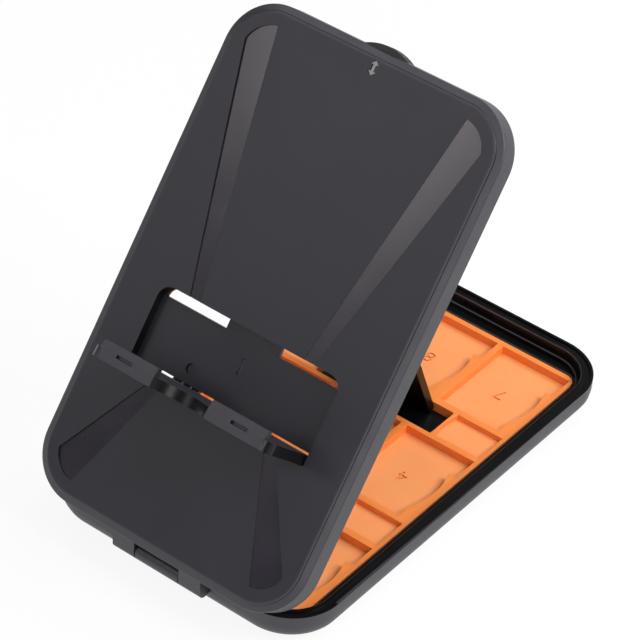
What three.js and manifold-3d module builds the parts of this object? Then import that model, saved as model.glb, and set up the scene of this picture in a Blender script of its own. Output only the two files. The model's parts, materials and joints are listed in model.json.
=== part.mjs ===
// Game card storage stand: a shallow hinged case whose lid is propped open to hold a console.
// Millimetres, +Z up. X runs along the hinge, Y from the hinge edge to the back edge, and
// the origin is the middle of the base's flat underside.
import * as THREE from 'three';
import { mergeVertices } from 'three/addons/utils/BufferGeometryUtils.js';
import Module from 'manifold-3d';

const wasm = await Module();
wasm.setup();

// Cards that the case is made for, with the play in their pockets
const cardWidth = 21.1;
const cardLength = 32.3;
const cardDepth = 2.6;
const memoryLength = 15.4;
const memoryWidth = 11.4;
const memoryDepth = 1.8;

// Pockets and the walls between them
const reliefWidth = 2.65;
const reliefLength = 8.9;
const scoopStart = 5;
const scoopDepth = 1.9;
const memoryScoop = 0.9;
const pocketWall = 2;
const memoryWall = 2.15;
const edgeWall = 1.375;
const endWall = 1.95;
const insertRadius = 3.5;
const pocketWidth = cardWidth + reliefWidth;
const pocketPitchX = pocketWidth + pocketWall;
const pocketPitchY = cardLength + memoryWidth + 2 * memoryWall;
const insertWidth = 3 * pocketWidth + 2 * pocketWall + 2 * edgeWall;
const insertLength = 2 * pocketPitchY + cardLength + 2 * endWall;

// Case round the insert; the base stands out round the lid by the margin
const sideBorder = 7.3;
const frontBorder = 9;
const backBorder = 8.3;
const cornerRadius = 16.3;
const rimMargin = 1.3;
const clearance = 0.3;
const overlap = 0.2;
const lidAngle = THREE.MathUtils.degToRad(53.5);
const caseWidth = insertWidth + 2 * sideBorder;
const caseLength = insertLength + frontBorder + backBorder;
const caseFront = -caseLength / 2;
const caseBack = caseLength / 2;
const insertFront = caseFront + frontBorder;
const insertBack = caseBack - backBorder;
const frontPocketY = insertFront + endWall;

// Heights of the base above its underside
const floorTop = 1.5;
const deckHeight = 5.4;
const innerStepHeight = 6.9;
const rimHeight = 9.5;
const bottomFillet = 6;

// Steps of the base wall, counted inwards from the outside of the case;
// the lid's wall drops into the groove
const grooveOuter = 0.9;
const grooveInner = 2.5;
const grooveDepth = 0.5;
const lipInner = 3.75;
const lowerWallInner = 5;

// Foot pads under the base
const padRadius = 4.5;
const padTaper = 0.2;
const padProud = 0.5;
const padRecess = 0.7;
const padPlay = 0.1;
const padInset = 15;

// Hinge on the front edge: a middle barrel on the base between two knuckles on the lid,
// with a pin that goes in from the left and stops at the closed end of the right knuckle
const hingeOffset = 1.54;
const hingeY = caseFront - hingeOffset;
const hingeZ = 7.6;
const barrelRadius = 2.4;
const barrelHalf = 7.5;
const knuckleEnd = 15.3;
const gussetDrop = 0.6;
const hingeRoot = 0.6;
const pinRadius = 1;
const pinPlay = 0.25;
const pinHole = pinRadius + pinPlay;
const pinEndPlay = 0.4;
const pinCap = 1.2;
const pinRight = knuckleEnd - pinCap;
const pinLeft = -knuckleEnd;

// Lid, measured from the hinge axis: v runs up the lid and n out of its face
const lidWall = 1;
const lidPlate = 1.8;
const groovePlay = 0.1;
const lidRim = rimHeight - grooveDepth + groovePlay - hingeZ;
const lidFace = 9.15;
const lidInside = lidFace - lidPlate;
const lidStart = caseFront + rimMargin - hingeY;
const lidEnd = caseBack - rimMargin - hingeY;
const lidCornerRadius = cornerRadius - rimMargin;
const webFoot = 1.8;

// Edge of the lid's face: a sloping border round a raised panel with rounded edges
const borderWidth = 1.9;
const borderDrop = 0.8;
const panelHeight = 0.4;
const panelRound = 0.9;

// Thumb tab on the lid's free edge, clear of the rim, and the latch behind it
const tabHalf = 7.3;
const tabBulge = 1.8;
const tabRibs = 4;
const tabRibHeight = 0.5;
const tabGroove = 0.35;
const tabPlay = 0.15;
const tabStart = rimHeight + tabPlay - hingeZ;
const latchHalf = 5;
const latchThickness = 1.2;
const latchSetback = lipInner - rimMargin + clearance;
const latchDrop = hingeZ - innerStepHeight - clearance;
const latchBump = 0.5;
const catchPlay = 0.5;

// Window in the lid and the ledge that folds into it
const windowHalf = 30.4;
const windowTopRadius = 4;
const windowFootRadius = 1;
const ledgeThickness = 3;
const ledgeReach = 23.05;
const ledgeSidePlay = 0.4;
const ledgeHalf = windowHalf - ledgeSidePlay;
const ledgeCornerRadius = 3.5;
const ledgePivotV = 45.34;
const ledgePivotN = lidFace - ledgeThickness / 2;
const ledgeBarrel = ledgeThickness / 2;
const ledgeOpen = THREE.MathUtils.degToRad(84.4);
const windowBottom = ledgePivotV - ledgeBarrel - clearance;
const ledgeEndPlay = 0.35;
const windowTop = ledgePivotV + ledgeReach + ledgeEndPlay;
const wellWall = 1.5;
const wellFloorTop = lidFace - ledgeThickness - clearance;
const wellFloor = 1.4;
const wellFloorBottom = wellFloorTop - wellFloor;
const stubRadius = 0.9;
const stubLength = 0.8;

// Lips at the ledge's edge, the slots that they fold into and the gap between them for a cable
const lipInnerX = 9.15;
const lipOuterX = 27.5;
const lipDepth = 5.45;
const lipRoot = 2.3;
const lipThickness = 1.95;
const lipLean = 0.6;
const lipSlotHeight = 3.25;
const cableDepth = 5.5;
const slitX = 19.3;
const slitHalf = 2.7;
const slitOffset = 1.25;
const slitHeight = 0.9;
const slitDepth = 1.3;

// Flutes in the lid's face, fanning out from the window to an arc round each corner
const fluteInnerX = 17.3;
const fluteOuterX = 20.9;
const fluteMargin = 6;
const fluteEndRadius = lidCornerRadius - fluteMargin;
const fluteOuterAngle = THREE.MathUtils.degToRad(15);
const fluteInnerAngle = THREE.MathUtils.degToRad(84);
const fluteInnerDepth = 0.15;
const fluteSlope = 0.05;

// Slot in the insert for the foot of the prop leg, and the seat on the base's floor inside it
const slotWall = 1.6;
const slotSideWall = 0.475;
const slotLength = 11.75;
const memoryInnerX = pocketPitchX + pocketWidth / 2 - memoryLength - memoryScoop;
const slotHalf = memoryInnerX - slotSideWall;
const slotStart = frontPocketY + pocketPitchY + cardLength + slotWall;
const slotEnd = slotStart + slotLength;
const slotRadius = 0.5;
const seatTop = 2.6;

// Prop leg, hinged under the lid, with its foot in the slot
const legWidth = 28;
const legThickness = 2.4;
const legPivotV = 108.9;
const legPivotN = 2;
const legStub = 1;
const earThickness = 2;
const earRadius = 2.4;
const earSpread = 1.5;
const footSetback = 1.55;
const footY = slotEnd - footSetback;
const footZ = seatTop + clearance + legThickness / 2;

// Turns a closed three.js geometry into a solid that can be joined and cut
function solid(geometry) {
  const bare = geometry.clone();
  bare.deleteAttribute('normal');
  bare.deleteAttribute('uv');
  const merged = mergeVertices(bare, 1e-4);
  const mesh = new wasm.Mesh({
    numProp: 3,
    vertProperties: new Float32Array(merged.attributes.position.array),
    triVerts: new Uint32Array(merged.index.array),
  });
  mesh.merge();
  return new wasm.Manifold(mesh);
}

// Turns a finished solid into a mesh with its own material
function piece(name, shape, colour, roughness, metalness = 0) {
  const result = shape.getMesh();
  const geometry = new THREE.BufferGeometry();
  geometry.setAttribute('position', new THREE.BufferAttribute(result.vertProperties, 3));
  geometry.setIndex(new THREE.BufferAttribute(result.triVerts, 1));
  geometry.computeVertexNormals();
  const material = new THREE.MeshStandardMaterial({ color: colour, roughness, metalness });
  const mesh = new THREE.Mesh(geometry, material);
  mesh.name = name;
  return mesh;
}

const union = (...shapes) => shapes.reduce((whole, next) => whole.add(next));
const cut = (shape, ...tools) => tools.reduce((rest, tool) => rest.subtract(tool), shape);

// Rectangle from one corner to the other with a radius at each corner,
// in the order bottom left, bottom right, top right, top left
function corneredRect(left, bottom, right, top, radii) {
  const [r1, r2, r3, r4] = Array.isArray(radii) ? radii : [radii, radii, radii, radii];
  const quarter = Math.PI / 2;
  const shape = new THREE.Shape();
  shape.moveTo(left + r1, bottom);
  shape.lineTo(right - r2, bottom);
  if (r2 > 0) shape.absarc(right - r2, bottom + r2, r2, -quarter, 0);
  shape.lineTo(right, top - r3);
  if (r3 > 0) shape.absarc(right - r3, top - r3, r3, 0, quarter);
  shape.lineTo(left + r4, top);
  if (r4 > 0) shape.absarc(left + r4, top - r4, r4, quarter, 2 * quarter);
  shape.lineTo(left, bottom + r1);
  if (r1 > 0) shape.absarc(left + r1, bottom + r1, r1, 2 * quarter, 3 * quarter);
  return shape;
}

// Outline of the case, moved inwards on every side
function caseOutline(inset, start = caseFront, end = caseBack) {
  const half = caseWidth / 2 - inset;
  return corneredRect(-half, start + inset, half, end - inset, cornerRadius - inset);
}

// Straight slab of an outline between two heights
function slab(shape, low, high, curveSegments = 10) {
  const options = { depth: high - low, bevelEnabled: false, curveSegments };
  return solid(new THREE.ExtrudeGeometry(shape, options).translate(0, 0, low));
}

// Slab whose edges are bevelled at both faces: sloped with one segment, rounded with more
function bevelledSlab(shape, low, high, bevelWidth, bevelHeight, bevelSegments) {
  const geometry = new THREE.ExtrudeGeometry(shape, {
    depth: high - low - 2 * bevelHeight,
    bevelThickness: bevelHeight,
    bevelSize: bevelWidth,
    bevelOffset: -bevelWidth,
    bevelSegments,
    curveSegments: 10,
  });
  return solid(geometry.translate(0, 0, low + bevelHeight));
}

// Box between two corners
function block(x0, y0, z0, x1, y1, z1) {
  const geometry = new THREE.BoxGeometry(x1 - x0, y1 - y0, z1 - z0);
  return solid(geometry.translate((x0 + x1) / 2, (y0 + y1) / 2, (z0 + z1) / 2));
}

// Rod along X
function rod(radius, x0, x1, y, z, sides = 24) {
  const geometry = new THREE.CylinderGeometry(radius, radius, x1 - x0, sides);
  return solid(geometry.rotateZ(-Math.PI / 2).translate((x0 + x1) / 2, y, z));
}

// Side profile drawn in Y and Z, drawn out along X
function sideProfile(shape, x0, x1) {
  const geometry = new THREE.ExtrudeGeometry(shape, {
    depth: x1 - x0,
    bevelEnabled: false,
    curveSegments: 8,
  });
  const turn = new THREE.Matrix4().makeBasis(
    new THREE.Vector3(0, 1, 0),
    new THREE.Vector3(0, 0, 1),
    new THREE.Vector3(1, 0, 0),
  );
  return solid(geometry.applyMatrix4(turn).translate(x0, 0, 0));
}

function polygon(points) {
  return new THREE.Shape(points.map(([x, y]) => new THREE.Vector2(x, y)));
}

// The two spans that run from inner to outer on either side of the middle
function bothSides(inner, outer) {
  return [[-outer, -inner], [inner, outer]];
}

// Radius of an arc from its chord and the bulge in its middle
function chordRadius(chord, bulge) {
  return (chord * chord / 4 + bulge * bulge) / (2 * bulge);
}

// Outline of the lid, moved inwards on every side
function lidOutline(inset) {
  return caseOutline(rimMargin + inset, lidStart - rimMargin, lidEnd + rimMargin);
}

// Base tray: floor, wall with a groove for the lid, deck round the insert and the hinge barrel
function baseTray() {
  const above = rimHeight + 1;
  const blank = rimHeight + bottomFillet;
  const groove = cut(
    slab(caseOutline(grooveOuter), rimHeight - grooveDepth, above),
    slab(caseOutline(grooveInner), 0, above + 1),
  );
  let tray = bevelledSlab(caseOutline(0), 0, blank, bottomFillet, bottomFillet, 5);
  tray = cut(
    tray,
    slab(caseOutline(-1), rimHeight, blank + 1),
    groove,
    slab(caseOutline(lipInner), innerStepHeight, above),
    slab(caseOutline(lowerWallInner), deckHeight, innerStepHeight + 1),
    slab(insertOutline(clearance), floorTop, deckHeight + 1),
  );

  // Raised seat under the leg's foot, inside the slot of the insert
  const seatHalf = slotHalf - clearance;
  const seatStart = slotStart + clearance;
  const seatEnd = slotEnd - clearance;
  tray = union(tray, block(-seatHalf, seatStart, floorTop - overlap, seatHalf, seatEnd, seatTop));

  // Catch in the back wall for the bump of the lid's latch
  const catchHalf = latchHalf + catchPlay;
  const catchTop = innerStepHeight + latchThickness + 2 * clearance;
  const catchBack = hingeY + lidEnd - latchSetback + latchBump + clearance;
  tray = cut(tray, block(-catchHalf, insertBack, innerStepHeight, catchHalf, catchBack, catchTop));

  // Room for the lid's knuckles and their webs, then the barrel between them on a gusset
  const knuckleRoom = barrelRadius + clearance;
  const webRoom = lidStart + hingeRoot + clearance;
  for (const [x0, x1] of bothSides(barrelHalf, knuckleEnd + clearance)) {
    tray = cut(
      tray,
      rod(knuckleRoom, x0, x1, hingeY, hingeZ, 36),
      block(x0, hingeY - knuckleRoom, hingeZ - clearance, x1, hingeY + webRoom, above),
    );
  }
  const gusset = polygon([
    [hingeY, hingeZ - barrelRadius],
    [caseFront + hingeRoot, hingeZ - barrelRadius - gussetDrop],
    [caseFront + hingeRoot, hingeZ],
    [hingeY, hingeZ],
  ]);
  tray = union(
    tray,
    sideProfile(gusset, -barrelHalf, barrelHalf),
    rod(barrelRadius, -barrelHalf, barrelHalf, hingeY, hingeZ, 36),
  );
  tray = cut(tray, rod(pinHole, -barrelHalf - 1, barrelHalf + 1, hingeY, hingeZ));

  for (const [x, y] of padCentres()) {
    const radius = padRadius + padPlay;
    const recess = new THREE.CylinderGeometry(radius, radius, 2 * padRecess, 32);
    tray = cut(tray, solid(recess.rotateX(Math.PI / 2).translate(x, y, 0)));
  }
  return tray;
}

function padCentres() {
  const x = caseWidth / 2 - padInset;
  const y = caseLength / 2 - padInset;
  return [[-x, -y], [x, -y], [-x, y], [x, y]];
}

function footPad(x, y) {
  const height = padProud + padRecess - padPlay;
  const pad = new THREE.CylinderGeometry(padRadius, padRadius - padTaper, height, 32);
  return solid(pad.rotateX(Math.PI / 2).translate(x, y, height / 2 - padProud));
}

function insertOutline(grow) {
  const half = insertWidth / 2 + grow;
  return corneredRect(-half, insertFront - grow, half, insertBack + grow, insertRadius + grow);
}

// Outline of a card pocket from its front left corner: card width, finger scoop and corner relief
function cardPocket(x, y) {
  const scoopEnd = cardLength - reliefLength;
  const chord = scoopEnd - scoopStart;
  const radius = chordRadius(chord, scoopDepth);
  const half = Math.asin(chord / 2 / radius);
  const shape = new THREE.Shape();
  shape.moveTo(x, y);
  shape.lineTo(x + cardWidth, y);
  shape.lineTo(x + cardWidth, y + scoopStart);
  shape.absarc(x + cardWidth + scoopDepth - radius, y + scoopStart + chord / 2, radius, -half, half);
  shape.lineTo(x + pocketWidth, y + scoopEnd);
  shape.lineTo(x + pocketWidth, y + cardLength);
  shape.lineTo(x, y + cardLength);
  return shape;
}

// Outline of a memory card pocket: straight at the outer end, scooped at the inner end
function memoryPocket(side, y) {
  const outer = side * (pocketPitchX + pocketWidth / 2);
  const inner = outer - side * memoryLength;
  const radius = chordRadius(memoryWidth, memoryScoop);
  const half = Math.asin(memoryWidth / 2 / radius);
  const centre = inner - side * (memoryScoop - radius);
  const shape = new THREE.Shape();
  shape.moveTo(outer, y);
  shape.lineTo(outer, y + memoryWidth);
  shape.lineTo(inner, y + memoryWidth);
  const facing = side > 0 ? Math.PI : 0;
  shape.absarc(centre, y + memoryWidth / 2, radius, facing - side * half, facing + side * half, side < 0);
  shape.lineTo(outer, y);
  return shape;
}

// Card insert: three rows of card pockets, memory card pockets between them and the leg's slot
function cardInsert() {
  const bottom = floorTop + clearance;
  const above = deckHeight + 1;
  let insert = slab(insertOutline(0), bottom, deckHeight, 6);
  for (let row = 0; row < 3; row += 1) {
    const y = frontPocketY + row * pocketPitchY;
    for (let column = -1; column <= 1; column += 1) {
      const x = column * pocketPitchX - pocketWidth / 2;
      insert = cut(insert, slab(cardPocket(x, y), deckHeight - cardDepth, above, 7));
    }
    if (row === 2) continue;
    for (const side of [-1, 1]) {
      const pocket = memoryPocket(side, y + cardLength + memoryWall);
      insert = cut(insert, slab(pocket, deckHeight - memoryDepth, above, 5));
    }
  }
  const slot = corneredRect(-slotHalf, slotStart, slotHalf, slotEnd, slotRadius);
  return cut(insert, slab(slot, bottom - 1, above, 2));
}

// Flute in the lid's face, on one side (-1 or 1) and towards one end of the lid (-1 or 1).
// Its floor is flat and drops away from the inner edge towards the outer one.
function flute(side, end) {
  const nearV = end > 0 ? windowTop : windowBottom;
  const cornerX = caseWidth / 2 - cornerRadius;
  const cornerV = end > 0 ? lidEnd - lidCornerRadius : lidStart + lidCornerRadius;
  const arcSteps = 10;
  const outline = [[fluteInnerX, nearV - end], [fluteOuterX, nearV - end]];
  for (let step = 0; step <= arcSteps; step += 1) {
    const angle = fluteOuterAngle + (fluteInnerAngle - fluteOuterAngle) * step / arcSteps;
    const x = cornerX + fluteEndRadius * Math.cos(angle);
    outline.push([x, cornerV + end * fluteEndRadius * Math.sin(angle)]);
  }
  const [nearX, nearEnd] = outline[0];
  const [farX, farEnd] = outline[outline.length - 1];
  const innerEdge = new THREE.Vector2(farX - nearX, farEnd - nearEnd).normalize();
  const shape = polygon(outline.map(([x, v]) => [side * x, v]));
  const geometry = new THREE.ExtrudeGeometry(shape, { depth: 1, bevelEnabled: false });
  const position = geometry.attributes.position;
  for (let i = 0; i < position.count; i += 1) {
    const x = side * position.getX(i) - nearX;
    const v = position.getY(i) - nearEnd;
    const across = Math.abs(x * innerEdge.y - v * innerEdge.x);
    const floor = lidFace - fluteInnerDepth - fluteSlope * across;
    position.setZ(i, position.getZ(i) > 0 ? lidFace + 1 : floor);
  }
  return solid(geometry);
}

// Thumb tab on the lid's free edge: an arc with ribs along it
function thumbTab() {
  const layers = [];
  for (let layer = 0; layer < 2 * tabRibs - 1; layer += 1) {
    const reach = layer % 2 === 0 ? tabBulge : tabBulge - tabGroove;
    const radius = chordRadius(2 * tabHalf, reach);
    const angle = Math.asin(tabHalf / radius);
    const shape = new THREE.Shape();
    shape.moveTo(-tabHalf, lidEnd - lidWall);
    shape.lineTo(tabHalf, lidEnd - lidWall);
    shape.lineTo(tabHalf, lidEnd);
    shape.absarc(0, lidEnd + reach - radius, radius, Math.PI / 2 - angle, Math.PI / 2 + angle);
    const low = tabStart + layer * tabRibHeight;
    layers.push(slab(shape, low, low + tabRibHeight, 8));
  }
  return union(...layers);
}

// Latch tongue behind the thumb tab, with a bump that snaps into the base's catch
function latchTongue() {
  const outer = lidEnd - latchSetback;
  const inner = outer - latchThickness;
  const profile = polygon([
    [inner, lidInside + overlap],
    [inner, -latchDrop],
    [outer, -latchDrop],
    [outer + latchBump, -latchDrop + latchThickness / 2],
    [outer, -latchDrop + latchThickness],
    [outer, lidInside + overlap],
  ]);
  return sideProfile(profile, -latchHalf, latchHalf);
}

// Ears under the lid that carry the prop leg
function legEars() {
  const root = lidInside + overlap;
  const profile = new THREE.Shape();
  profile.absarc(legPivotV, legPivotN, earRadius, Math.PI, 2 * Math.PI);
  profile.lineTo(legPivotV + earRadius + earSpread, root);
  profile.lineTo(legPivotV - earRadius - earSpread, root);
  const inner = legWidth / 2 + clearance;
  const ears = bothSides(inner, inner + earThickness);
  return ears.map(([x0, x1]) => sideProfile(profile, x0, x1));
}

// Lid shell in its own frame: raised face, window with a well behind it, flutes and knuckles
function lidShell() {
  const below = lidRim - 2 * borderDrop;
  const borderTop = lidFace - panelHeight;
  let lid = union(
    bevelledSlab(lidOutline(0), below, borderTop, borderWidth + overlap, borderDrop, 1),
    bevelledSlab(lidOutline(borderWidth), lidInside + overlap, lidFace, panelRound, panelHeight, 3),
  );
  lid = cut(
    lid,
    slab(lidOutline(-1), below - 1, lidRim),
    slab(lidOutline(lidWall), lidRim - 1, lidInside),
  );

  // Well behind the window, open along the ledge's hinge and where its lips fold in
  const wellHalf = windowHalf + wellWall;
  const wellStart = windowBottom - wellWall;
  const wellEnd = windowTop + wellWall;
  const wellBelow = wellFloorBottom - 1;
  const hingeGap = ledgePivotV + ledgeBarrel + clearance;
  const stubEnd = windowHalf + stubLength + clearance;
  const radii = [windowFootRadius, windowFootRadius, windowTopRadius, windowTopRadius];
  const opening = corneredRect(-windowHalf, windowBottom, windowHalf, windowTop, radii);
  lid = union(lid, block(-wellHalf, wellStart, wellFloorBottom, wellHalf, wellEnd, lidInside + overlap));
  lid = cut(
    lid,
    slab(opening, wellFloorTop, lidFace + 1, 6),
    block(-windowHalf, windowBottom, wellBelow, windowHalf, hingeGap, wellFloorTop + 1),
    rod(stubRadius + clearance, -stubEnd, stubEnd, ledgePivotV, ledgePivotN),
  );
  for (const side of [-1, 1]) {
    const [x0, x1] = [lipInnerX - overlap, windowHalf - 1].map((x) => side * x).sort((a, b) => a - b);
    const slotRadii = side < 0 ? [0, 0, 0, lipSlotHeight] : [0, 0, lipSlotHeight, 0];
    const slot = corneredRect(x0, windowTop - lipSlotHeight, x1, windowTop, slotRadii);
    lid = cut(lid, slab(slot, wellBelow, wellFloorTop + 1, 6));
  }

  for (const side of [-1, 1]) {
    lid = cut(lid, flute(side, 1), flute(side, -1));
  }

  // Knuckles either side of the base's barrel, each on a web whose front is upright in the propped pose
  const frontV = -barrelRadius * Math.cos(lidAngle);
  const frontN = barrelRadius * Math.sin(lidAngle);
  const webEnd = lidStart + hingeRoot;
  const web = polygon([
    [frontV, frontN],
    [webEnd, frontN + (webEnd - frontV) / Math.tan(lidAngle)],
    [webEnd, lidRim],
    [webFoot, 0],
    [0, 0],
  ]);
  for (const [x0, x1] of bothSides(barrelHalf + clearance, knuckleEnd)) {
    lid = union(lid, sideProfile(web, x0, x1), rod(barrelRadius, x0, x1, 0, 0, 36));
  }

  lid = union(lid, ...legEars(), latchTongue(), thumbTab());
  const earSpan = legWidth / 2 + earThickness + 1;
  return cut(
    lid,
    rod(pinHole, pinLeft - 1, pinRight, 0, 0),
    rod(legStub + clearance, -earSpan, earSpan, legPivotV, legPivotN),
  );
}

// Ledge in its folded pose: it lies up the lid from its pivot, with the lips pointing inwards
function consoleLedge() {
  const face = ledgeThickness / 2;
  const radii = [0, 0, ledgeCornerRadius, ledgeCornerRadius];
  const plate = corneredRect(-ledgeHalf, 0, ledgeHalf, ledgeReach, radii);
  const stubEnd = windowHalf + stubLength;
  let ledge = union(
    slab(plate, -face, face, 6),
    rod(ledgeBarrel, -ledgeHalf, ledgeHalf, 0, 0),
    rod(stubRadius, -stubEnd, stubEnd, 0, 0),
  );

  const cableRadius = chordRadius(2 * lipInnerX, cableDepth);
  const cable = new THREE.Shape();
  cable.absarc(0, ledgeReach - cableDepth + cableRadius, cableRadius, 0, 2 * Math.PI);
  ledge = cut(ledge, slab(cable, -face - 1, face + 1, 14));

  // Lips either side of the cable gap, each with a slit in its outer edge
  const lipTip = face - lipDepth;
  const lip = polygon([
    [ledgeReach - lipRoot, -face + overlap],
    [ledgeReach - lipLean - lipThickness, lipTip],
    [ledgeReach - lipLean, lipTip],
    [ledgeReach, -face],
    [ledgeReach, -face + overlap],
  ]);
  const slitLow = -slitOffset - slitHeight / 2;
  const slitHigh = -slitOffset + slitHeight / 2;
  const slitStart = ledgeReach - slitDepth;
  for (const side of [-1, 1]) {
    const [x0, x1] = [lipInnerX, lipOuterX].map((x) => side * x).sort((a, b) => a - b);
    const x = side * slitX;
    ledge = union(ledge, sideProfile(lip, x0, x1));
    ledge = cut(
      ledge,
      block(x - slitHalf, slitStart, slitLow, x + slitHalf, ledgeReach + 1, slitHigh),
    );
  }
  return ledge;
}

// Prop leg in its folded pose: it lies down the lid from its pivot, with rounded ends
function propLeg(length) {
  const radius = legThickness / 2;
  const profile = new THREE.Shape();
  profile.absarc(0, 0, radius, -Math.PI / 2, Math.PI / 2);
  profile.absarc(-length, 0, radius, Math.PI / 2, 3 * Math.PI / 2);
  const half = legWidth / 2;
  const leg = sideProfile(profile, -half, half);
  return union(leg, rod(legStub, -half - earThickness, half + earThickness, 0, 0));
}

// Where the leg's pivot stands when the lid is propped, and how far the leg swings out to its slot
const pivotY = hingeY + legPivotV * Math.cos(lidAngle) - legPivotN * Math.sin(lidAngle);
const pivotZ = hingeZ + legPivotV * Math.sin(lidAngle) + legPivotN * Math.cos(lidAngle);
const legLength = Math.hypot(footY - pivotY, footZ - pivotZ);
const legAngle = Math.atan2(footZ - pivotZ, footY - pivotY);
const legOpen = legAngle + Math.PI - lidAngle;

const black = 0x2a2a2d;
const orange = 0xf5863a;
const steel = 0x8d8f92;
const rubber = 0x1c1c1e;

const stand = new THREE.Group();
stand.name = 'game_card_storage_stand';
stand.add(piece('base_tray', baseTray(), black, 0.4));
stand.add(piece('card_insert', cardInsert(), orange, 0.55));
const pin = rod(pinRadius, pinLeft + pinEndPlay, pinRight - pinEndPlay, hingeY, hingeZ);
stand.add(piece('hinge_pin', pin, steel, 0.35, 1));
padCentres().forEach(([x, y], index) => {
  stand.add(piece(`foot_pad_${index + 1}`, footPad(x, y), rubber, 0.9));
});

const lid = new THREE.Group();
lid.position.set(0, hingeY, hingeZ);
lid.rotation.x = lidAngle;
lid.add(piece('lid_shell', lidShell(), black, 0.5));
stand.add(lid);

const ledge = piece('console_ledge', consoleLedge(), black, 0.45);
ledge.position.set(0, ledgePivotV, ledgePivotN);
ledge.rotation.x = ledgeOpen;
lid.add(ledge);

const leg = piece('prop_leg', propLeg(legLength), black, 0.4);
leg.position.set(0, legPivotV, legPivotN);
leg.rotation.x = legOpen;
lid.add(leg);

export default stand;
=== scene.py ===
import json
import math

import bmesh
import bpy
from mathutils import Matrix, Quaternion, Vector

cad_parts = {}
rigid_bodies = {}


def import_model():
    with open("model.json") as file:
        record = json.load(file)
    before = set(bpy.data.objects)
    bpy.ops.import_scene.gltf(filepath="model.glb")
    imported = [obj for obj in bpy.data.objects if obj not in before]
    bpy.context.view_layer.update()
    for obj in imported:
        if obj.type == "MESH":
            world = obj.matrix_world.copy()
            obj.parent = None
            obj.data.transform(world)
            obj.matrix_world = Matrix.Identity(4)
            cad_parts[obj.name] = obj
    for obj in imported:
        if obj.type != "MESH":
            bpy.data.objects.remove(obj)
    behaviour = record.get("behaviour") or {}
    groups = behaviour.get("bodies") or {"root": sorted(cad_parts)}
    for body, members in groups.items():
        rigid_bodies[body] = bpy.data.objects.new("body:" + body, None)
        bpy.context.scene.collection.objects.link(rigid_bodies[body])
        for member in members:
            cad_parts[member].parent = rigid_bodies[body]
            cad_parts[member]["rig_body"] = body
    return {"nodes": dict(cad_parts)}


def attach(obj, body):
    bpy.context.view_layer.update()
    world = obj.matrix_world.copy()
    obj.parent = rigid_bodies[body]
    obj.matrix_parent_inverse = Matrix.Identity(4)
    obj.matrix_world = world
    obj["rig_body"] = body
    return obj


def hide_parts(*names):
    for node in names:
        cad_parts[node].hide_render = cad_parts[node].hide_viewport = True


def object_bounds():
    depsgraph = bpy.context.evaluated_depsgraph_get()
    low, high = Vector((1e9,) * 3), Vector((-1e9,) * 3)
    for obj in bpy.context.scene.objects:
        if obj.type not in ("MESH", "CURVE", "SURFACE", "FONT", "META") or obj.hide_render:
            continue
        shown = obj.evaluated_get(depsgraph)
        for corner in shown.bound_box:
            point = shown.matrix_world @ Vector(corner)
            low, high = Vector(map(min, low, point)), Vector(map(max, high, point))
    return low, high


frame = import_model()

cad_low, cad_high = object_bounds()
scene = bpy.context.scene
MM = 0.001

# Counts and sizes of the part as in its source, in millimetres
ROWS = 3
COLUMNS = 3
PADS = 4
CARD_WIDTH = 21.1
CARD_LENGTH = 32.3
CARD_DEPTH = 2.6
RELIEF_WIDTH = 2.65
MEMORY_WIDTH = 11.4
MEMORY_DEPTH = 1.8
POCKET_WALL = 2.0
MEMORY_WALL = 2.15
END_WALL = 1.95
FRONT_BORDER = 9.0
DECK_HEIGHT = 5.4
CASE_HALF_X = 46.3
CASE_HALF_Y = 74.75
CORNER_RADIUS = 16.3
RIM_MARGIN = 1.3
CLEARANCE = 0.3
HINGE_OFFSET = 1.54
HINGE_Z = 7.6
LID_ANGLE = math.radians(53.5)
LID_FACE = 9.15
FLUTE_SLOPE = 0.05
WINDOW_HALF = 30.4
LEDGE_PIVOT = 45.34
LEDGE_REACH = 23.05
LEDGE_THICKNESS = 3.0
LEDGE_END_PLAY = 0.35
LEDGE_OPEN = math.radians(84.4)
LIP_INNER = 9.15
LIP_OUTER = 27.5

# Places that follow from them; on the lid they are measured up from the hinge and out of its face
POCKET_WIDTH = CARD_WIDTH + RELIEF_WIDTH
POCKET_PITCH_X = POCKET_WIDTH + POCKET_WALL
POCKET_PITCH_Y = CARD_LENGTH + MEMORY_WIDTH + 2 * MEMORY_WALL
FRONT_POCKET_Y = FRONT_BORDER + END_WALL - CASE_HALF_Y
CARD_FLOOR = DECK_HEIGHT - CARD_DEPTH
MEMORY_FLOOR = DECK_HEIGHT - MEMORY_DEPTH
HINGE_Y = -CASE_HALF_Y - HINGE_OFFSET
LID_END = CASE_HALF_Y - RIM_MARGIN - HINGE_Y
WELL_FLOOR = LID_FACE - LEDGE_THICKNESS - CLEARANCE
WINDOW_FOOT = LEDGE_PIVOT - LEDGE_THICKNESS / 2 - CLEARANCE
WINDOW_TOP = LEDGE_PIVOT + LEDGE_REACH + LEDGE_END_PLAY

# The lid's own frame, with x along the hinge, y up the lid and z out of its face, and the way that the
# plate of the open ledge faces
LID_PLACE = Matrix.Translation((0, HINGE_Y * MM, HINGE_Z * MM)) @ Matrix.Rotation(LID_ANGLE, 4, "X")
TO_LID = LID_PLACE.inverted()
LEDGE_OUT = Matrix.Rotation(LID_ANGLE + LEDGE_OPEN, 3, "X") @ Vector((0, 0, 1))

# Engraved signs in millimetres; their cutters stand out of the face by the last value
NUMBER_HEIGHT = 4.4
NUMBER_DEPTH = 0.38
ARROW_DEPTH = 0.36
DIMPLE_X = -13.55
DIMPLE_Y = 51.24
DIMPLE_RADIUS = 1.55
DIMPLE_DEPTH = 0.7
CUT_ABOVE = 0.5

# Radii of the rounded edges in millimetres; a larger one on the leg would fold over at its stubs
CASE_EDGE = 0.3
FINE_EDGE = 0.2
SMALL_EDGE = 0.15
LEG_EDGE = 0.05

# An edge is rounded where both faces beside it run back by more than this many radii
EDGE_ROOM = 3

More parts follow.
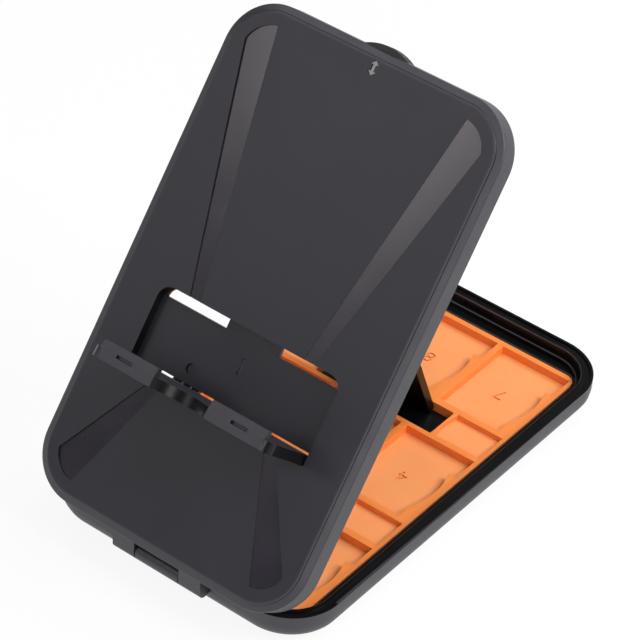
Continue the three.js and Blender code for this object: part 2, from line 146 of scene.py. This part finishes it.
# Points closer than this are merged, in millimetres
MERGE = 0.002

# Bends between faces: below the first they count as one flat, above the second an outer edge is
# rounded, and above the third an edge is shaded as sharp
FLAT_BEND = math.radians(0.3)
EDGE_BEND = math.radians(32)
SHARP_BEND = math.radians(50)

# The facets of the ledge's cable gap turn by 12.9 degrees and its lips lean by 13.8, which is a crease
LEDGE_CREASE = math.radians(13.3)

# Limits that tell faces apart when they get their finish, in millimetres: how near counts as the same
# height, how far a face may lie past its zone, how deep the steps in the lid's face go, half the width
# of the strip that holds the arrows, and the height above which the tray's inside is polished
NEAR = 0.05
MARGIN = 0.1
STEP_LIMIT = 0.6
ARROW_ZONE = 2.0
POLISHED_FROM = 2.0

# Tilts from the lid's face, and shares of a face's normal that point up or out of the ledge's plate
LEVEL_TILT = math.radians(1)
STEEP_TILT = math.radians(30)
LEVEL_RISE = 0.97
UPRIGHT_RISE = 0.2
LEDGE_WALL_RISE = 0.3


# Colours and materials

def linear(hex_colour):
    """Linear RGBA of an sRGB hex colour."""
    channels = [int(hex_colour[i:i + 2], 16) / 255 for i in (1, 3, 5)]
    return [c / 12.92 if c <= 0.04045 else ((c + 0.055) / 1.055) ** 2.4 for c in channels] + [1.0]


def add(tree, kind, inputs=None, **settings):
    """Adds a node with its settings, and links or sets its inputs."""
    made = tree.nodes.new(kind)
    for name, value in settings.items():
        setattr(made, name, value)
    for key, value in (inputs or {}).items():
        if isinstance(value, bpy.types.NodeSocket):
            tree.links.new(value, made.inputs[key])
        else:
            made.inputs[key].default_value = value
    return made


def empty_tree(owner):
    """Node tree of a material or world, with nothing in it."""
    owner.use_nodes = True
    owner.node_tree.nodes.clear()
    return owner.node_tree


def noise(tree, place, size_mm, detail):
    """Noise with lumps of about the stated size."""
    texture = add(tree, "ShaderNodeTexNoise", {
        "Vector": place, "Scale": 1 / (size_mm * MM), "Detail": detail,
    })
    return texture.outputs["Fac"]


def moulded_plastic(name, dark, light, roughness, gloss_swing, grain_mm, grain_depth_mm, cloud_mm,
                    extra=None):
    """Moulded plastic: a fine grain from the mould, with faint clouds in colour and gloss."""
    material = bpy.data.materials.new(name)
    tree = empty_tree(material)
    place = add(tree, "ShaderNodeTexCoord").outputs["Object"]
    grain = noise(tree, place, grain_mm, detail=2.0)
    clouds = noise(tree, place, cloud_mm, detail=3.0)
    colour = add(tree, "ShaderNodeMix", {0: clouds, 6: linear(dark), 7: linear(light)},
                 data_type="RGBA")
    # Most of a noise texture's values lie between 0.3 and 0.7
    gloss = add(tree, "ShaderNodeMapRange", {
        "Value": clouds, "From Min": 0.3, "From Max": 0.7,
        "To Min": roughness - gloss_swing, "To Max": roughness + gloss_swing,
    })
    bump = add(tree, "ShaderNodeBump", {
        "Height": grain, "Strength": 1.0, "Distance": grain_depth_mm * MM,
    })
    shader = add(tree, "ShaderNodeBsdfPrincipled", {
        "Base Color": colour.outputs[2], "Roughness": gloss.outputs["Result"],
        "Normal": bump.outputs["Normal"], "IOR": 1.54, **(extra or {}),
    })
    add(tree, "ShaderNodeOutputMaterial", {"Surface": shader.outputs["BSDF"]})
    return material


def drawn_wire(name, colour, streak_mm, stretch, smooth, rough):
    """Drawn steel wire: fine lines along its length that spread the highlight."""
    material = bpy.data.materials.new(name)
    tree = empty_tree(material)
    place = add(tree, "ShaderNodeTexCoord").outputs["Object"]
    stretched = add(tree, "ShaderNodeMapping", {"Vector": place, "Scale": (1 / stretch, 1, 1)})
    streaks = noise(tree, stretched.outputs["Vector"], streak_mm, detail=3.0)
    gloss = add(tree, "ShaderNodeMapRange", {"Value": streaks, "To Min": smooth, "To Max": rough})
    shader = add(tree, "ShaderNodeBsdfPrincipled", {
        "Base Color": linear(colour), "Metallic": 1.0, "Roughness": gloss.outputs["Result"],
    })
    add(tree, "ShaderNodeOutputMaterial", {"Surface": shader.outputs["BSDF"]})
    return material


# Textured ABS: spark-eroded grain, so the walls scatter light into a soft grey. The grain is drawn at
# 0.45 mm, coarser than the real 0.1 mm, so that it shows.
satin_abs = moulded_plastic(
    "black_abs_satin", "#191921", "#1f1f28", roughness=0.48, gloss_swing=0.03,
    grain_mm=0.45, grain_depth_mm=0.012, cloud_mm=9,
    extra={"Specular IOR Level": 0.75, "Specular Tint": linear("#fffaff")})
# The lid's face and the floor of its well have a deeper grain, which takes off some of the sheen.
face_abs = moulded_plastic(
    "black_abs_textured", "#17171e", "#1d1d25", roughness=0.48, gloss_swing=0.03,
    grain_mm=0.45, grain_depth_mm=0.014, cloud_mm=9,
    extra={"Specular IOR Level": 0.6, "Specular Tint": linear("#fffaff")})
# Polished ABS: a smooth mould wall, near black with clear reflections and a slow waviness. On the
# sides of the lid's steps, flutes, arrows and dimple its near black is painted shade.
polished_and_shade_abs = moulded_plastic(
    "black_abs_polished_and_painted_shade", "#070708", "#0a0a0b", roughness=0.3, gloss_swing=0.03,
    grain_mm=5, grain_depth_mm=0.01, cloud_mm=14, extra={"Specular IOR Level": 0.25})
# Smooth flutes in the lid's face and the floors of its arrows: the same plastic with a shallow grain,
# which gives a clearer sheen, and a lighter colour that is painted sheen.
flute_sheen_abs = moulded_plastic(
    "black_abs_smooth_painted_sheen", "#22212a", "#27262f", roughness=0.22, gloss_swing=0.02,
    grain_mm=0.45, grain_depth_mm=0.003, cloud_mm=9,
    extra={"Specular IOR Level": 1.0, "Specular Tint": linear("#fff6f9")})
# Orange ABS; light goes a little way in, so its shaded walls glow. The rims and walls are smooth; the
# pocket floors have a matt grain and a paler colour that is painted sheen; the numbers are left rough
# and painted darker as shade in their grooves.
glow = {"Subsurface Weight": 0.3, "Subsurface Radius": (1.0, 0.3, 0.1), "Subsurface Scale": 1.5 * MM}
orange_abs = moulded_plastic(
    "orange_abs_satin", "#f48a3e", "#f79045", roughness=0.4, gloss_swing=0.04,
    grain_mm=0.4, grain_depth_mm=0.004, cloud_mm=12, extra=glow)
# Paler than the rims: painted sheen on the pocket floors, over a real matt grain
grained_sheen_abs = moulded_plastic(
    "orange_abs_grained_painted_sheen", "#f89855", "#fba062", roughness=0.6, gloss_swing=0.04,
    grain_mm=0.4, grain_depth_mm=0.008, cloud_mm=12, extra=glow)
# Darker than the pocket floors: painted shade in the grooves of the numbers
engraved_shade_abs = moulded_plastic(
    "orange_abs_engraved_painted_shade", "#e88846", "#ec8f4e", roughness=0.8, gloss_swing=0.04,
    grain_mm=0.2, grain_depth_mm=0.02, cloud_mm=2)
pad_rubber = moulded_plastic(
    "black_rubber", "#18181a", "#1e1e20", roughness=0.85, gloss_swing=0.05,
    grain_mm=0.6, grain_depth_mm=0.03, cloud_mm=3)
pin_steel = drawn_wire("drawn_steel", "#b8babd", streak_mm=0.12, stretch=50, smooth=0.22, rough=0.42)


# Cutters for the engraved signs

def put(name, data):
    """New object in the scene, at the origin."""
    obj = bpy.data.objects.new(name, data)
    scene.collection.objects.link(obj)
    return obj


def prism(points, low, high, place):
    """Closed prism of a flat outline between two heights, in millimetres, set in its place."""
    work = bmesh.new()
    bottom = [work.verts.new((x * MM, y * MM, low * MM)) for x, y in points]
    top = [work.verts.new((x * MM, y * MM, high * MM)) for x, y in points]
    count = len(points)
    work.faces.new(top)
    work.faces.new(bottom[::-1])
    for i in range(count):
        j = (i + 1) % count
        work.faces.new((bottom[i], bottom[j], top[j], top[i]))
    bmesh.ops.recalc_face_normals(work, faces=work.faces)
    work.transform(place)
    mesh = bpy.data.meshes.new("cutter")
    work.to_mesh(mesh)
    work.free()
    return put("cutter", mesh)


def arrow(tip, tail, head_half, head_length, stem_half, face):
    """Cutter of a double-headed arrow that runs up the lid, sunk into one of its faces."""
    neck = tip - head_length
    foot = tail + head_length
    left = [
        (0, tip), (-head_half, neck), (-stem_half, neck), (-stem_half, foot), (-head_half, foot),
    ]
    right = [(-x, tip + tail - y) for x, y in left]
    return prism(left + right, face - ARROW_DEPTH, face + CUT_ABOVE, LID_PLACE)


def circle(x, y, radius, count=24):
    """Points round a circle."""
    turn = 2 * math.pi / count
    return [(x + radius * math.cos(i * turn), y + radius * math.sin(i * turn)) for i in range(count)]


def dimple():
    """Cutter of the round dimple in the floor of the lid's well."""
    outline = circle(DIMPLE_X, DIMPLE_Y, DIMPLE_RADIUS)
    return prism(outline, WELL_FLOOR - DIMPLE_DEPTH, WELL_FLOOR + CUT_ABOVE, LID_PLACE)


def evaluated_mesh(obj):
    """New mesh of an object with its modifiers or its curve worked out."""
    evaluated = obj.evaluated_get(bpy.context.evaluated_depsgraph_get())
    return bpy.data.meshes.new_from_object(evaluated)


def numeral(text, low, high, place):
    """Cutter of a plain numeral between two heights, centred on its place."""
    figure_share = 0.7  # a figure's height as a share of the font's size
    curve = bpy.data.curves.new("numeral", "FONT")
    curve.body = text
    curve.size = NUMBER_HEIGHT * MM / figure_share
    curve.align_x = "CENTER"
    curve.align_y = "CENTER"
    curve.extrude = (high - low) / 2 * MM
    curve.resolution_u = 4
    holder = put("numeral", curve)
    mesh = evaluated_mesh(holder)
    bpy.data.objects.remove(holder)
    work = bmesh.new()
    work.from_mesh(mesh)
    bmesh.ops.remove_doubles(work, verts=work.verts, dist=MERGE * MM)
    bmesh.ops.recalc_face_normals(work, faces=work.faces)
    work.transform(place @ Matrix.Translation((0, 0, (low + high) / 2 * MM)))
    work.to_mesh(mesh)
    work.free()
    return put("cutter", mesh)


def pocket_number(row, column):
    """Cutter of a pocket's number, in the middle of its card and read from the back edge."""
    from_middle = (COLUMNS - 1) / 2 - column
    x = from_middle * POCKET_PITCH_X - POCKET_WIDTH / 2 + CARD_WIDTH / 2
    y = FRONT_POCKET_Y + row * POCKET_PITCH_Y + CARD_LENGTH / 2
    place = Matrix.Translation((x * MM, y * MM, 0)) @ Matrix.Rotation(math.pi, 4, "Z")
    text = str(COLUMNS * row + column + 1)
    return numeral(text, CARD_FLOOR - NUMBER_DEPTH, CARD_FLOOR + CUT_ABOVE, place)


# Softened copies of the solids

def bake(obj):
    """Turns a piece's modifiers into its mesh."""
    mesh = evaluated_mesh(obj)
    obj.modifiers.clear()
    obj.data = mesh


def engrave(obj, cutters):
    """Cuts closed solids out of a piece."""
    for cutter in cutters:
        modifier = obj.modifiers.new("engrave", "BOOLEAN")
        modifier.object = cutter
        modifier.operation = "DIFFERENCE"
        modifier.solver = "MANIFOLD"
    bake(obj)
    for cutter in cutters:
        bpy.data.objects.remove(cutter)


def reach(edge, face):
    """How far a face runs back from one of its edges."""
    start = edge.verts[0].co
    along = (edge.verts[1].co - start).normalized()
    return max((v.co - start - along * along.dot(v.co - start)).length for v in face.verts)


def outer_edge(edge, room):
    """Whether an edge stands out, with faces on both sides that run back far enough."""
    if not edge.is_manifold or edge.calc_face_angle_signed(0) <= EDGE_BEND:
        return False
    return all(reach(edge, face) > room for face in edge.link_faces)


def closed_loops(edges):
    """The edges that form closed loops, two at each of their corners."""
    kept = set(edges)
    while True:
        loose = [
            edge for edge in kept
            if any(sum(other in kept for other in v.link_edges) != 2 for v in edge.verts)
        ]
        if not loose:
            return [edge for edge in edges if edge in kept]
        kept.difference_update(loose)


def curved(face, rounded, crease):
    """Whether a face bends gently, by less than a crease, into one that is no rounded edge."""
    for edge in face.edges:
        gentle = FLAT_BEND < edge.calc_face_angle(0) < crease
        if gentle and not any(side in rounded for side in edge.link_faces):
            return True
    return False


def softened(node, edge_mm, cutters=(), crease=EDGE_BEND):
    """Engraved copy of a solid with the closed loops of its outer edges rounded."""
    radius = edge_mm * MM
    work = bmesh.new()
    work.from_mesh(frame["nodes"][node].data)
    bmesh.ops.remove_doubles(work, verts=work.verts, dist=MERGE * MM)
    mesh = bpy.data.meshes.new(node + "_softened")
    work.to_mesh(mesh)
    obj = put(node + "_softened", mesh)
    if cutters:
        engrave(obj, cutters)
        work.clear()
        work.from_mesh(obj.data)
    bmesh.ops.dissolve_limit(work, angle_limit=FLAT_BEND, verts=work.verts, edges=work.edges)
    outer = [edge for edge in work.edges if outer_edge(edge, EDGE_ROOM * radius)]
    bevel = bmesh.ops.bevel(
        work, geom=closed_loops(outer), offset=radius, offset_type="OFFSET", segments=2,
        profile=0.5, affect="EDGES", clamp_overlap=False)
    rounded = set(bevel["faces"])
    for face in work.faces:
        face.smooth = face in rounded or curved(face, rounded, crease)
    for edge in work.edges:
        edge.smooth = edge.calc_face_angle(0) < SHARP_BEND
    bmesh.ops.triangulate(work, faces=[face for face in work.faces if len(face.verts) > 4])
    work.to_mesh(obj.data)
    work.free()
    return obj


# Finishes: each of these functions gives the number of a face's material

def base_finish(face):
    """1 on the flats and walls inside the tray from above its floor to the rim, 0 elsewhere."""
    x, y, z = (value / MM for value in face.center)
    beside_x = max(abs(x) - CASE_HALF_X + CORNER_RADIUS, 0)
    beside_y = max(abs(y) - CASE_HALF_Y + CORNER_RADIUS, 0)
    inwards = CORNER_RADIUS - math.hypot(beside_x, beside_y)
    rise = abs(face.normal.z)
    flat_or_wall = rise > LEVEL_RISE or rise < UPRIGHT_RISE
    return 1 if inwards > CASE_EDGE and z > POLISHED_FROM and flat_or_wall else 0


def insert_finish(face):
    """1 on the pocket floors, paler as painted sheen, 2 in the engraved numbers, darker as painted
    shade, 0 elsewhere.
    """
    height = face.center.z / MM
    from_floor = min(abs(height - CARD_FLOOR), abs(height - MEMORY_FLOOR))
    if abs(face.normal.z) > LEVEL_RISE and from_floor < NEAR:
        return 1
    return 2 if CARD_FLOOR - NUMBER_DEPTH - NEAR < height < CARD_FLOOR - NEAR else 0


def lid_finish(face):
    """1 in flutes and arrows, lighter as painted sheen, 2 on the tab and sides of steps, near black,
    which on the steps is painted shade, 3 on other level faces, 0 elsewhere.
    """
    centre = TO_LID @ face.center / MM
    normal = TO_LID.to_3x3() @ face.normal
    tilt = math.acos(max(-1.0, min(1.0, normal.z)))
    depth = LID_FACE - centre.z
    well_depth = LID_FACE - WELL_FLOOR
    beside_window = abs(centre.x) > WINDOW_HALF + MARGIN
    in_window = not beside_window and WINDOW_FOOT - MARGIN < centre.y < WINDOW_TOP + MARGIN
    step = depth < STEP_LIMIT or (in_window and depth < well_depth + ARROW_DEPTH)
    # Steep sides of the face's steps, flutes, arrows and dimple get near black as painted shade; the
    # window's walls get it as well
    if centre.y > LID_END + MARGIN or (step and tilt > STEEP_TILT):
        return 2
    level = tilt < LEVEL_TILT
    flute = abs(tilt - math.atan(FLUTE_SLOPE)) < LEVEL_TILT
    sunk = min(abs(depth - ARROW_DEPTH), abs(depth - well_depth - ARROW_DEPTH)) < NEAR
    if flute or (level and sunk and abs(centre.x) < ARROW_ZONE):
        return 1
    return 3 if level else 0


def ledge_finish(face):
    """1 on the walls of the plate beside the lips, 0 elsewhere."""
    on_lips = LIP_INNER - FINE_EDGE < abs(face.center.x) / MM < LIP_OUTER + FINE_EDGE
    wall = abs(face.normal.dot(LEDGE_OUT)) < LEDGE_WALL_RISE
    return 1 if wall and not on_lips else 0


def dress(obj, node, slot, *materials, pick=None):
    """Gives a piece its finishes, even shading beside rounded edges, and its solid's body."""
    mesh = obj.data
    mesh.materials.clear()
    for material in materials:
        mesh.materials.append(material)
    for face in mesh.polygons:
        face.material_index = pick(face) if pick else 0
    weighted = obj.modifiers.new("normals", "WEIGHTED_NORMAL")
    weighted.weight = 100
    weighted.keep_sharp = True
    bake(obj)
    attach(obj, frame["nodes"][node]["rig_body"])
    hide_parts(node)


# Pieces
base = softened("base_tray", CASE_EDGE)
dress(base, "base_tray", "base_plastic", satin_abs, polished_and_shade_abs, pick=base_finish)

numbers = [pocket_number(row, column) for row in range(ROWS) for column in range(COLUMNS)]
insert = softened("card_insert", FINE_EDGE, numbers)
dress(insert, "card_insert", "insert_plastic", orange_abs, grained_sheen_abs, engraved_shade_abs,
      pick=insert_finish)

lid = softened("lid_shell", CASE_EDGE, [
    arrow(tip=147.1, tail=142.6, head_half=1.4, head_length=1.3, stem_half=0.6, face=LID_FACE),
    arrow(tip=60.9, tail=55.6, head_half=0.85, head_length=0.9, stem_half=0.45, face=WELL_FLOOR),
    dimple(),
])
dress(lid, "lid_shell", "lid_plastic", satin_abs, flute_sheen_abs, polished_and_shade_abs, face_abs, pick=lid_finish)

ledge = softened("console_ledge", FINE_EDGE, crease=LEDGE_CREASE)
dress(ledge, "console_ledge", "ledge_plastic", satin_abs, polished_and_shade_abs, pick=ledge_finish)
dress(softened("prop_leg", LEG_EDGE), "prop_leg", "leg_plastic", polished_and_shade_abs)
dress(softened("hinge_pin", SMALL_EDGE), "hinge_pin", "pin_steel", pin_steel)
for index in range(1, PADS + 1):
    pad = softened(f"foot_pad_{index}", SMALL_EDGE)
    dress(pad, f"foot_pad_{index}", "pad_rubber", pad_rubber)


# Studio

# Half width of the floor in metres, and the share of its look that is plain white
FLOOR_HALF = 0.32
FLOOR_WHITE = 0.9

# Distance of the lamps in metres
LAMP_DISTANCE = 0.9

# Light of the dim room, and the sines of the elevations between which the white backdrop fades out
DIM = 0.1
BACKDROP_FADE = 0.1
BACKDROP_END = 0.2


def shown_rays(tree):
    """1 for a ray from the camera or off a glossy or clear surface, 0 for the rest."""
    path = add(tree, "ShaderNodeLightPath").outputs
    seen = add(tree, "ShaderNodeMath", {0: path["Is Camera Ray"], 1: path["Is Glossy Ray"]},
               operation="MAXIMUM")
    shown = add(tree, "ShaderNodeMath", {0: seen.outputs[0], 1: path["Is Transmission Ray"]},
                operation="MAXIMUM")
    return shown.outputs[0]


def paper_floor():
    """Floor of white paper: white to the eye and in reflections, with a trace of the shadow."""
    material = bpy.data.materials.new("white_paper")
    tree = empty_tree(material)
    share = add(tree, "ShaderNodeMath", {0: shown_rays(tree), 1: FLOOR_WHITE}, operation="MULTIPLY")
    paper = add(tree, "ShaderNodeBsdfDiffuse", {"Color": linear("#f4f4f4")})
    white = add(tree, "ShaderNodeEmission", {"Color": linear("#ffffff"), "Strength": 1.0})
    mix = add(tree, "ShaderNodeMixShader", {
        0: share.outputs[0], 1: paper.outputs[0], 2: white.outputs[0],
    })
    add(tree, "ShaderNodeOutputMaterial", {"Surface": mix.outputs[0]})
    mesh = bpy.data.meshes.new("floor")
    signs = [(-1, -1), (1, -1), (1, 1), (-1, 1)]
    corners = [(x * FLOOR_HALF, y * FLOOR_HALF, cad_low.z) for x, y in signs]
    mesh.from_pydata(corners, [], [(0, 1, 2, 3)])
    mesh.materials.append(material)
    return put("floor", mesh)


def softbox(name, azimuth, elevation, size, level):
    """Square lamp aimed at the object, where a white surface facing it gets the stated level."""
    turn = math.radians(azimuth)
    rise = math.radians(elevation)
    away = Vector((math.sin(turn) * math.cos(rise), -math.cos(turn) * math.cos(rise), math.sin(rise)))
    lamp = bpy.data.lights.new(name, "AREA")
    lamp.shape = "SQUARE"
    lamp.size = size
    lamp.energy = level * math.pi ** 2 * LAMP_DISTANCE ** 2
    obj = put(name, lamp)
    obj.location = (cad_low + cad_high) / 2 + away * LAMP_DISTANCE
    obj.rotation_mode = "QUATERNION"
    obj.rotation_quaternion = (-away).to_track_quat("-Z", "Y")


def studio_world():
    """Dim room with a low white backdrop, seen by the eye and in reflections."""
    world = bpy.data.worlds.new("studio")
    tree = empty_tree(world)
    direction = add(tree, "ShaderNodeTexCoord").outputs["Generated"]
    height = add(tree, "ShaderNodeSeparateXYZ", {"Vector": direction}).outputs["Z"]
    backdrop = add(tree, "ShaderNodeMapRange", {
        "Value": height, "From Min": BACKDROP_FADE, "From Max": BACKDROP_END,
        "To Min": 1.0, "To Max": DIM,
    })
    strength = add(tree, "ShaderNodeMix", {
        0: shown_rays(tree), 2: DIM, 3: backdrop.outputs["Result"],
    })
    background = add(tree, "ShaderNodeBackground", {
        "Color": linear("#ffffff"), "Strength": strength.outputs[0],
    })
    add(tree, "ShaderNodeOutputWorld", {"Surface": background.outputs["Background"]})
    return world


floor = paper_floor()

# Lamps, with azimuths in degrees from the front towards the right
softbox("key", azimuth=100, elevation=44, size=0.45, level=0.82)
softbox("back", azimuth=165, elevation=48, size=0.5, level=0.44)
softbox("top", azimuth=12, elevation=62, size=0.3, level=0.1)
softbox("front_left", azimuth=-32, elevation=36, size=0.26, level=0.094)
softbox("right", azimuth=30, elevation=25, size=0.3, level=0.2)
softbox("left", azimuth=-82, elevation=62, size=0.4, level=0.17)
scene.world = studio_world()

# Camera of the photograph, fitted to its straight edges, corners and outline
SENSOR = 36.0
IMAGE_WIDTH = 640
FOCAL_PIXELS = 3083.7
CAMERA_PLACE = Vector((374.7, -550.25, 581.1)) * MM
CAMERA_AIM = Vector((-13.8, 8.15, 33.9)) * MM
CAMERA_ROLL = math.radians(4.88)
camera_data = bpy.data.cameras.new("camera")
camera_data.sensor_width = SENSOR
camera_data.lens = FOCAL_PIXELS * SENSOR / IMAGE_WIDTH
camera = put("camera", camera_data)
camera.location = CAMERA_PLACE
camera.rotation_mode = "QUATERNION"
aim = (CAMERA_AIM - CAMERA_PLACE).to_track_quat("-Z", "Y")
camera.rotation_quaternion = aim @ Quaternion((0, 0, 1), CAMERA_ROLL)
scene.camera = camera
scene.view_settings.view_transform = "Standard"
